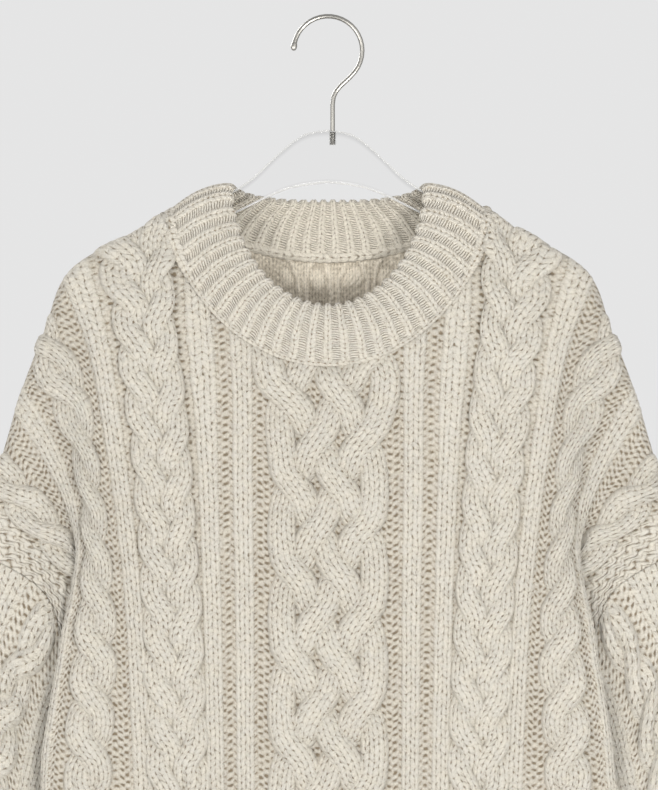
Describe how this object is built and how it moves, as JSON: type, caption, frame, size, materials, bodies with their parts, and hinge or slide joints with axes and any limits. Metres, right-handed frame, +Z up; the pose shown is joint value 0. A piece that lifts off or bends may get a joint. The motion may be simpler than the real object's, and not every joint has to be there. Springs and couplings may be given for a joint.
{
  "type": "cable knit sweater on a clear hanger",
  "caption": "Chunky cable knit pullover with a wide rib collar and drop shoulders, hanging on a clear plate hanger with a steel hook.",
  "frame": {"origin": "inner top of the hook's loop, where a rail bears", "axes": "+Z up, -Y the wearer's front, +X the wearer's left"},
  "size_m": [0.692, 0.0827, 0.8836],
  "materials": {
    "wool_cream": "soft fuzzy chunky knit with cables, matte",
    "wool_rib": "soft fuzzy knit rib, matte",
    "clear_acrylic": "clear polished acrylic",
    "satin_steel": "satin steel wire"
  },
  "bodies": {
    "root": {"front_panel": "wool_cream", "back_panel": "wool_cream", "collar_rib": "wool_rib", "front_hem_rib": "wool_rib", "back_hem_rib": "wool_rib", "sleeve_left": "wool_cream", "sleeve_right": "wool_cream", "cuff_rib_left": "wool_rib", "cuff_rib_right": "wool_rib", "hanger_plate": "clear_acrylic", "hanger_hook": "satin_steel"}
  },
  "joints": []
}
